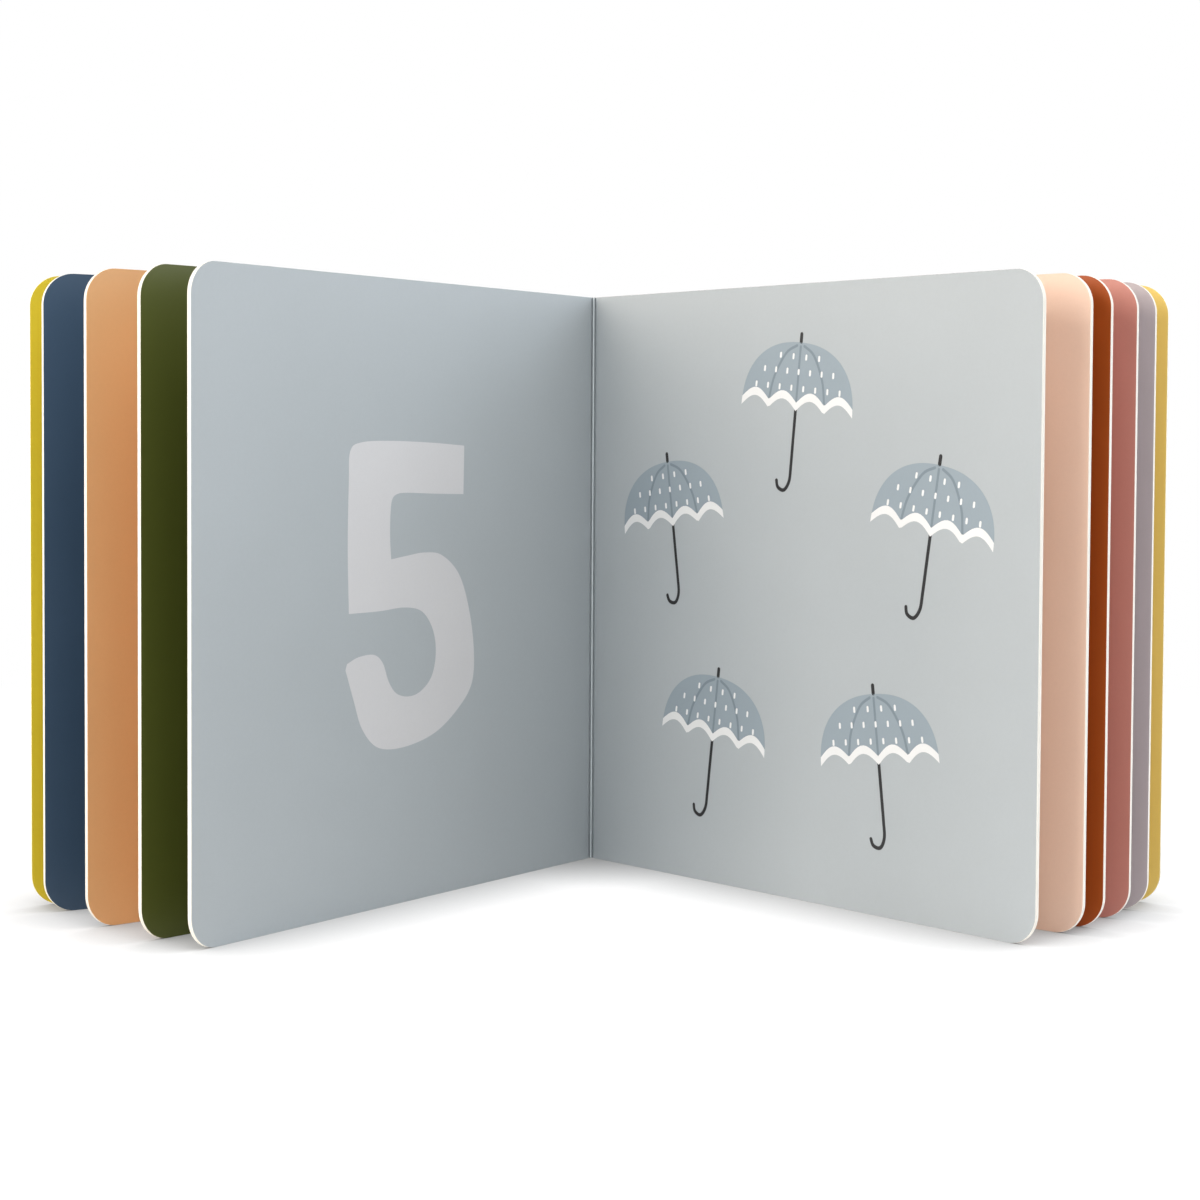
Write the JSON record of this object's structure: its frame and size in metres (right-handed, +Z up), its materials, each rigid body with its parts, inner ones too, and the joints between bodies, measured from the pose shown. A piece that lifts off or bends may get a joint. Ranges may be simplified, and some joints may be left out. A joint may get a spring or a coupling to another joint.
{
  "type": "board book",
  "caption": "Children's square board book of numbers, standing on edge and fanned open at its middle spread, with stiff round-cornered pages and covers that swing.",
  "frame": {"origin": "on the floor, under the middle of the book's bounding box", "axes": "+Z up along the folds, from the foot of the book to its head; +X to the reader's right, the longest extent; the open spread faces -Y and the spine is at +Y"},
  "size_m": [0.3266, 0.1592, 0.18],
  "materials": {
    "page_board": "solid white board, printed and satin laminated, white die-cut edges",
    "cover_board": "solid white board, printed mustard and satin laminated, white die-cut edges"
  },
  "bodies": {
    "block": {"page_block": "page_board", "spine_strip": "cover_board"},
    "front": {"front_cover": "cover_board"},
    "back": {"back_cover": "cover_board"}
  },
  "joints": [
    {"name": "front_cover_hinge", "type": "hinge", "parent": "block", "child": "front", "pos_m": [-0.00808, 0.07327, 0], "axis": [0, 0, -1], "range_deg": [-3, 110]},
    {"name": "back_cover_hinge", "type": "hinge", "parent": "block", "child": "back", "pos_m": [0.00182, 0.07481, 0], "axis": [0, 0, 1], "range_deg": [-3.5, 120]}
  ]
}
